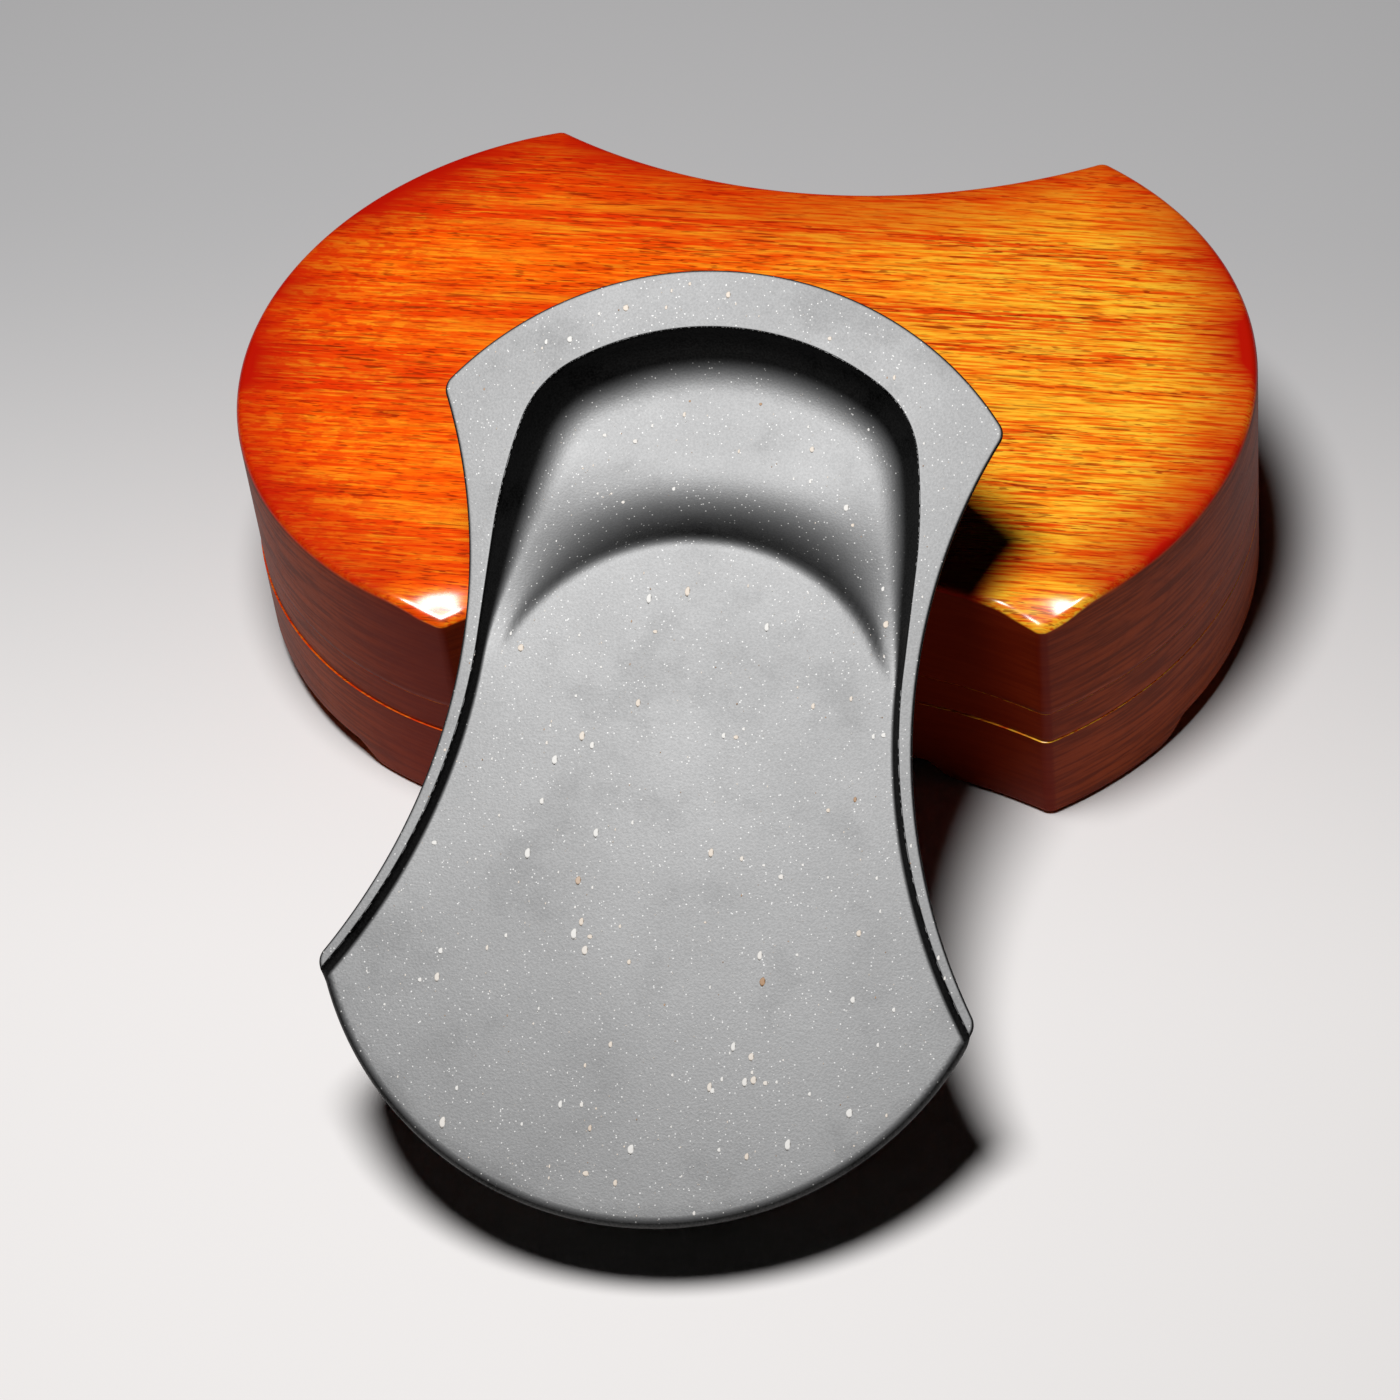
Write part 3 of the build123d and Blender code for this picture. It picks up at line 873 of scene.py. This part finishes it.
class INKSTONE_OT_flecks(bpy.types.Operator):
    """Scatter pale mineral flecks over the stone"""

    bl_idname = "inkstone.flecks"
    bl_label = "Flecks"

    def execute(self, context):
        ground = bpy.data.objects["slate_stone"]
        tree = self.tree(fleck_material(finish()))
        piece = bpy.data.objects.new("slate_flecks", ground.data)
        context.scene.collection.objects.link(piece)
        scatter = piece.modifiers.new("flecks", "NODES")
        scatter.node_group = tree
        evaluated = piece.evaluated_get(context.evaluated_depsgraph_get())
        mesh = bpy.data.meshes.new_from_object(evaluated)
        piece.modifiers.remove(scatter)
        piece.data = mesh
        mesh.name = "slate_flecks"
        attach(piece, "stone")
        return {"FINISHED"}

    def tree(self, material):
        """Nodes that strew thin pebbles over a mesh, a few large and many small."""
        tree = bpy.data.node_groups.new("strew_flecks", "GeometryNodeTree")
        geometry = "NodeSocketGeometry"
        tree.interface.new_socket("Geometry", in_out="INPUT", socket_type=geometry)
        tree.interface.new_socket("Geometry", in_out="OUTPUT", socket_type=geometry)
        kinds = (("Fleck", 30000.0, 0.10 * MM, 0.58 * MM), ("Grain", 170000.0, 0.04 * MM, 0.13 * MM))
        for name, *values in kinds:
            for title, value in zip(("s", " smallest", " largest"), values):
                title = name + title
                socket = tree.interface.new_socket(title, in_out="INPUT", socket_type="NodeSocketFloat")
                socket.default_value = value
        given = node(tree, "NodeGroupInput").outputs
        joined = node(tree, "GeometryNodeJoinGeometry")
        for name, seed, fineness in (("Fleck", 11, 2), ("Grain", 23, 1)):
            tree.links.new(self.strewn(tree, given, name, seed, fineness), joined.inputs[0])
        real = node(tree, "GeometryNodeRealizeInstances", inputs={"Geometry": joined.outputs[0]})
        smooth = node(tree, "GeometryNodeSetShadeSmooth", inputs={"Geometry": real.outputs[0]})
        inputs = {"Geometry": smooth.outputs[0], "Material": material}
        painted = node(tree, "GeometryNodeSetMaterial", inputs=inputs)
        node(tree, "NodeGroupOutput", inputs={"Geometry": painted.outputs[0]})
        return tree

    def strewn(self, tree, given, name, seed, fineness):
        """Pebbles of one kind, drawn out along the stone, most of them small."""
        edge_room = 1.2
        least_level = 0.93
        mostly_small = 3.6
        shortest, longest = 0.7, 1.9
        thin = 0.012 * MM
        lump_scale, lump_swell = 1.3, 1.1
        number = {"data_type": "FLOAT"}
        lean = node(tree, "GeometryNodeInputNamedAttribute", number, {"Name": "steep"}).outputs[0]
        from_wall = times(tree, times(tree, lean, 1.0, "SUBTRACT"), 0.0, "ABSOLUTE")
        inner = node(tree, "GeometryNodeInputNamedAttribute", number, {"Name": "inner"}).outputs[0]
        clear = times(tree, inner, edge_room, "GREATER_THAN")
        level = times(tree, times(tree, from_wall, least_level, "GREATER_THAN"), clear)
        inputs = {"Mesh": given["Geometry"], "Selection": level, "Density": given[name + "s"], "Seed": seed}
        points = node(tree, "GeometryNodeDistributePointsOnFaces", inputs=inputs).outputs

        def chance(offset, low=0.0, high=1.0):
            inputs = {2: low, 3: high, "Seed": seed + offset}
            return node(tree, "FunctionNodeRandomValue", number, inputs).outputs[1]

        inputs = {"Value": times(tree, chance(1), mostly_small, "POWER")}
        inputs |= {"To Min": given[name + " smallest"], "To Max": given[name + " largest"]}
        radius = node(tree, "ShaderNodeMapRange", inputs=inputs).outputs["Result"]
        length = times(tree, radius, chance(2, shortest, longest))
        shape = node(tree, "ShaderNodeCombineXYZ", inputs={"X": length, "Y": radius, "Z": thin}).outputs[0]
        align = "FunctionNodeAlignRotationToVector"
        along = node(tree, align, {"axis": "X"}, {"Vector": tuple(STONE_WAY)}).outputs[0]
        inputs = {"Rotation": along, "Vector": points["Normal"]}
        upright = node(tree, align, {"axis": "Z"}, inputs).outputs[0]
        ball = node(tree, "GeometryNodeMeshIcoSphere", inputs={"Radius": 1.0, "Subdivisions": fineness})
        bumps = node(tree, "ShaderNodeTexNoise", inputs={"Scale": lump_scale}).outputs["Color"]
        centred = ("SUBTRACT", (0.5, 0.5, 0.5))
        swollen = ("MULTIPLY", (lump_swell, lump_swell, 0.0))
        for operation, amount in (centred, swollen):
            settings = {"operation": operation}
            bumps = node(tree, "ShaderNodeVectorMath", settings, {0: bumps, 1: amount}).outputs[0]
        pebble = node(tree, "GeometryNodeSetPosition", inputs={"Geometry": ball.outputs[0], "Offset": bumps})
        inputs = {"Points": points["Points"], "Instance": pebble.outputs[0]}
        inputs |= {"Rotation": upright, "Scale": shape}
        placed = node(tree, "GeometryNodeInstanceOnPoints", inputs=inputs).outputs[0]
        settings = {"domain": "INSTANCE"} | number
        inputs = {"Geometry": placed, "Name": "tone", "Value": chance(3)}
        return node(tree, "GeometryNodeStoreNamedAttribute", settings, inputs).outputs[0]


# Wooden case
def case_ring(case, grow, height):
    """The case's outline moved outwards, at a height."""
    least_corner = 0.25
    return at_height(fan_points(CASE_FAN, grow, max(case.corner + grow, least_corner)), height)


def lid_ring(case, grow, height):
    """The lid's outline moved outwards, at a height: it sits a little to the right on the base."""
    return case_ring(case, grow - case.lid_inset, height) + np.array((case.lid_shift, 0.0, 0.0))


def hollow_ring(case, grow, height):
    """The hollow's outline moved outwards, at a height."""
    corner = case.hollow_corner + grow
    return at_height(fan_points(STONE_FAN, case.clearance + grow, corner, HOLLOW_SHIFT), height)


def shade_edges(piece, case):
    """Store how near each point lies to the case's outline, and to its two front corners."""
    fade = 5.0
    crowding = 1.3
    points = read_points(piece.data.vertices, "co")[:, :2] / MM
    from_edge = path_distance(points, fan_points(CASE_FAN, 0.0, case.corner), True)
    corners, _ = fan_circles(CASE_FAN)
    from_corner = np.min([np.linalg.norm(points - corners[side], axis=1) for side in (0, 3)], axis=0)
    near = 1 - smooth_share(from_corner, case.dip_reach, case.dip_reach + fade)
    share = np.clip(1 - from_edge / case.shade_reach, 0, 1) ** crowding
    store(piece, "edge_shade", share * (1 - near))
    store(piece, "front_corner", near)


def finish_case_piece(piece, replaced, body):
    """Close up a piece of the case, stand it in place and tie it to its body."""
    merge_doubles(piece)
    place(piece, CASE_MIDDLE, Vector((1, 0, 0)), Vector((0, 1, 0)), Vector((0, 0, 1)))
    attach(piece, body)
    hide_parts(replaced)


def wood():
    """The wood, made once and shared."""
    return bpy.data.materials.get("lacquered_redwood") or wood_material(finish())


def finish():
    """The scene's colours."""
    return bpy.context.scene.set_finish


class INKSTONE_OT_lid(bpy.types.Operator):
    """Make the lid's hollowed block"""

    bl_idname = "inkstone.lid"
    bl_label = "Lid"

    def execute(self, context):
        case = context.scene.case_sizes
        rings = [lid_ring(case, -case.glue_groove, case.glue_line)]
        side_rises = (case.glue_groove, 1.0, 8.0, LID_DIP_START, 18.0)
        top_steps = (0.35, 0.8, 1.3, 1.9, 2.5)
        for rise in side_rises:
            rings.append(lid_ring(case, 0.0, case.glue_line + rise))
        steps = 8
        for step in range(steps + 1):
            angle = math.pi / 2 * step / steps
            height = case.height - case.edge_round * (1 - math.sin(angle))
            rings.append(lid_ring(case, -case.edge_round * (1 - math.cos(angle)), height))
        for step in top_steps:
            rings.append(lid_ring(case, -case.edge_round - step, case.height))
        rings += spine_rings(rings[-1], 46)
        rings = [self.dipped(case, ring) for ring in rings]
        ceiling_round = 1.0
        inner = [hollow_ring(case, 0.0, case.glue_line)]
        for share, drop in ((0.0, 1.0), (0.3, 0.3), (1.0, 0.0)):
            height = case.hollow_top - ceiling_round * drop
            inner.append(hollow_ring(case, -ceiling_round * share, height))
        inner += spine_rings(inner[-1], 6)
        points, faces = join_rings(inner[::-1] + rings, False)
        piece = mesh_object("case_lid_block", points, faces, wood())
        shade_edges(piece, case)
        finish_case_piece(piece, "case_lid", "lid")
        return {"FINISHED"}

    def dipped(self, case, ring):
        """A ring of the lid's skin, lowered near the two front corners."""
        lowest = case.glue_line + LID_DIP_START
        inwards = np.array((-0.28, 0.96))
        fade_in, fade_out = 5.0, 4.5
        softness = 0.2
        share = np.clip((ring[:, 2] - lowest) / (case.height - lowest), 0, 1)
        lowered = ring.copy()
        corners, _ = fan_circles(CASE_FAN)
        for corner in (corners[0], corners[3]):
            offset = ring[:, :2] - corner
            away = np.linalg.norm(offset, axis=1)
            worn = 1 - smooth_share(away, case.dip_reach - fade_in, case.dip_reach + fade_out)
            near = np.clip(1 - offset @ inwards / case.dip_reach, 0, 1) * worn
            lowered[:, 2] -= case.dip * (1 + softness) * near**2 / (near + softness) * share
        return lowered


class INKSTONE_OT_rim(bpy.types.Operator):
    """Make the rim that is glued under the lid"""

    bl_idname = "inkstone.rim"
    bl_label = "Lid rim"

    def execute(self, context):
        case = context.scene.case_sizes
        rebate = case.lip_thickness + case.lip_play
        ceiling = case.seam + case.lip + case.lip_play
        rings = [hollow_ring(case, 0.0, ceiling), hollow_ring(case, rebate, ceiling)]
        rings.append(hollow_ring(case, rebate, case.seam))
        rings.append(lid_ring(case, -case.rim_chamfer, case.seam))
        rises = (case.rim_chamfer, 1.0)
        drops = (1.0, 0.08, 0.03, 0.0)
        rings += [lid_ring(case, 0.0, case.seam + rise) for rise in rises]
        rings += [lid_ring(case, 0.0, case.glue_line - drop) for drop in drops]
        rings.append(hollow_ring(case, 0.0, case.glue_line))
        points, faces = join_rings(rings, True)
        piece = mesh_object("case_lid_rim", points, faces, wood())
        finish_case_piece(piece, "lid_rim", "lid")
        return {"FINISHED"}


class INKSTONE_OT_base(bpy.types.Operator):
    """Make the tray with its four feet"""

    bl_idname = "inkstone.base"
    bl_label = "Base"

    def execute(self, context):
        case = context.scene.case_sizes
        edge_room = 0.6
        outline = fan_points(CASE_FAN, -case.foot_round, case.corner - case.foot_round)
        across, along = np.meshgrid(*self.grid_lines(case))
        loose = np.column_stack((across.ravel(), along.ravel()))
        loose = loose[path_distance(loose, outline, True) > edge_room]
        flat, triangles = fill_flat([(outline, True)], loose)
        flat, triangles = keep_inside(flat, triangles, outline)
        loop = outer_loop(triangles)
        edge = flat[loop]
        order = [int(np.argmin(((outline - point) ** 2).sum(axis=1))) for point in edge]
        middle = fan_points(CASE_FAN, 0.0, case.corner)[order]
        rings = []
        steps = 5
        for step in range(1, steps + 1):
            angle = math.pi / 2 * step / steps
            share = math.sin(angle)
            side = edge * (1 - share) + middle * share
            rise = case.foot_round * (1 - math.cos(angle))
            rings.append(at_height(side, self.underside(case, side) + rise))
        chamfer = case.seam_chamfer
        above_foot = 4.0
        below_seam = (1.0, chamfer * 3, chamfer)
        rings.append(at_height(middle, case.foot + above_foot))
        rings += [at_height(middle, case.seam - drop) for drop in below_seam]
        rings.append(case_ring(case, -chamfer, case.seam)[order])
        top = case.seam + case.lip
        lip_edge = 0.25
        floor_round, floor_mid = 1.0, 0.3
        inwards = (
            (case.lip_thickness, case.seam),
            (case.lip_thickness, top - chamfer),
            (case.lip_thickness - chamfer, top),
            (lip_edge, top),
            (0.0, top - lip_edge),
            (0.0, case.floor_top + floor_round),
            (-floor_mid, case.floor_top + floor_mid),
            (-floor_round, case.floor_top),
        )
        rings += [hollow_ring(case, grow, height)[order] for grow, height in inwards]
        rings += spine_rings(rings[-1], 6)
        points = at_height(flat, self.underside(case, flat))
        points, faces = join_edge(points, triangles, loop, rings, False)
        piece = mesh_object("case_base_tray", points, faces, wood())
        finish_case_piece(piece, "case_base", "base")
        return {"FINISHED"}

    def grid_lines(self, case):
        """Places of the underside's grid lines, close together on the feet's shoulders."""
        half = CASE_FAN[0] / 2
        reach = case.foot_reach
        breaks_along = (-half - reach, -half + reach, half - reach, half + reach)
        break_across = CASE_FAN[2] - reach
        wide_step, close_step = 4.0, 0.6
        length_reach, width_reach = 100.0, 64.0
        lines = []
        for breaks, end in ((breaks_along, length_reach), ((-break_across, break_across), width_reach)):
            places = list(np.arange(-end, end, wide_step))
            for middle in breaks:
                places += list(np.arange(middle - case.shoulder_run, middle + case.shoulder_run, close_step))
            lines.append(np.unique(np.round(places, 3)))
        return lines

    def underside(self, case, points):
        """Height of the base's underside: nought under the feet, and foot height between them."""
        half = CASE_FAN[0] / 2

        def shoulder(distance):
            return case.foot * smooth_share(distance, 0.0, case.shoulder_run)

        along = np.abs(points[:, 0])
        inner = shoulder(half - case.foot_reach - along)
        outer = shoulder(along - half - case.foot_reach)
        middle = shoulder(CASE_FAN[2] - case.foot_reach - np.abs(points[:, 1]))
        return np.maximum(np.maximum(inner, outer), middle)


class INKSTONE_OT_stage(bpy.types.Operator):
    """Make the floor, the soft lamp and the camera"""

    bl_idname = "inkstone.stage"
    bl_label = "Studio"

    def execute(self, context):
        scene = context.scene
        reach = 4000.0
        floor_height = -0.05
        corners = [(-reach, -reach), (reach, -reach), (reach, reach), (-reach, reach)]
        points = [(x, y, floor_height) for x, y in corners]
        floor = mesh_object("floor", points, [(0, 1, 2, 3)], floor_material(finish()))
        lamp_data = bpy.data.lights.new("soft_box", "AREA")
        lamp_data.shape = "DISK"
        lamp_data.size = 0.23
        lamp_data.energy = 5.4
        lamp = bpy.data.objects.new("soft_box", lamp_data)
        lamp.location = LAMP_PLACE
        lamp.visible_camera = False
        scene.collection.objects.link(lamp)
        world = bpy.data.worlds.new("dim_studio")
        world.use_nodes = True
        light = world.node_tree.nodes["Background"].inputs
        light["Color"].default_value = (1.0, 1.0, 1.0, 1.0)
        light["Strength"].default_value = 0.001
        scene.world = world
        scene.view_settings.view_transform = "Standard"
        self.camera(scene)
        return {"FINISHED"}

    def camera(self, scene):
        """Stand the camera where the photograph was taken from."""
        data = bpy.data.cameras.new("camera")
        data.sensor_width = 36.0
        data.lens = 120.4935
        data.clip_start = 0.01
        data.clip_end = 20.0
        camera = bpy.data.objects.new("camera", data)
        up = CAMERA_BACK.cross(CAMERA_RIGHT)
        matrix = Matrix((CAMERA_RIGHT, up, CAMERA_BACK)).transposed().to_4x4()
        matrix.translation = CAMERA_PLACE
        camera.matrix_world = matrix
        scene.collection.objects.link(camera)
        scene.camera = camera


class INKSTONE_PT_panel(bpy.types.Panel):
    """Buttons for the pieces of the set"""

    bl_label = "Ink Stone"
    bl_idname = "INKSTONE_PT_panel"
    bl_space_type = "VIEW_3D"
    bl_region_type = "UI"
    bl_category = "Ink Stone"

    def draw(self, context):
        for piece in PIECES:
            self.layout.operator(piece.bl_idname)


PIECES = (
    INKSTONE_OT_stone,
    INKSTONE_OT_flecks,
    INKSTONE_OT_base,
    INKSTONE_OT_rim,
    INKSTONE_OT_lid,
    INKSTONE_OT_stage,
)
GROUPS = (("stone_sizes", StoneSizes), ("case_sizes", CaseSizes), ("set_finish", Finish))


def register():
    for name, group in GROUPS:
        bpy.utils.register_class(group)
        setattr(bpy.types.Scene, name, bpy.props.PointerProperty(type=group))
    for piece in PIECES:
        bpy.utils.register_class(piece)
    bpy.utils.register_class(INKSTONE_PT_panel)


def unregister():
    bpy.utils.unregister_class(INKSTONE_PT_panel)
    for piece in reversed(PIECES):
        bpy.utils.unregister_class(piece)
    for name, group in reversed(GROUPS):
        delattr(bpy.types.Scene, name)
        bpy.utils.unregister_class(group)


def main():
    register()
    bpy.ops.inkstone.stone()
    bpy.ops.inkstone.flecks()
    bpy.ops.inkstone.base()
    bpy.ops.inkstone.rim()
    bpy.ops.inkstone.lid()
    bpy.ops.inkstone.stage()


if __name__ == "__main__":
    main()
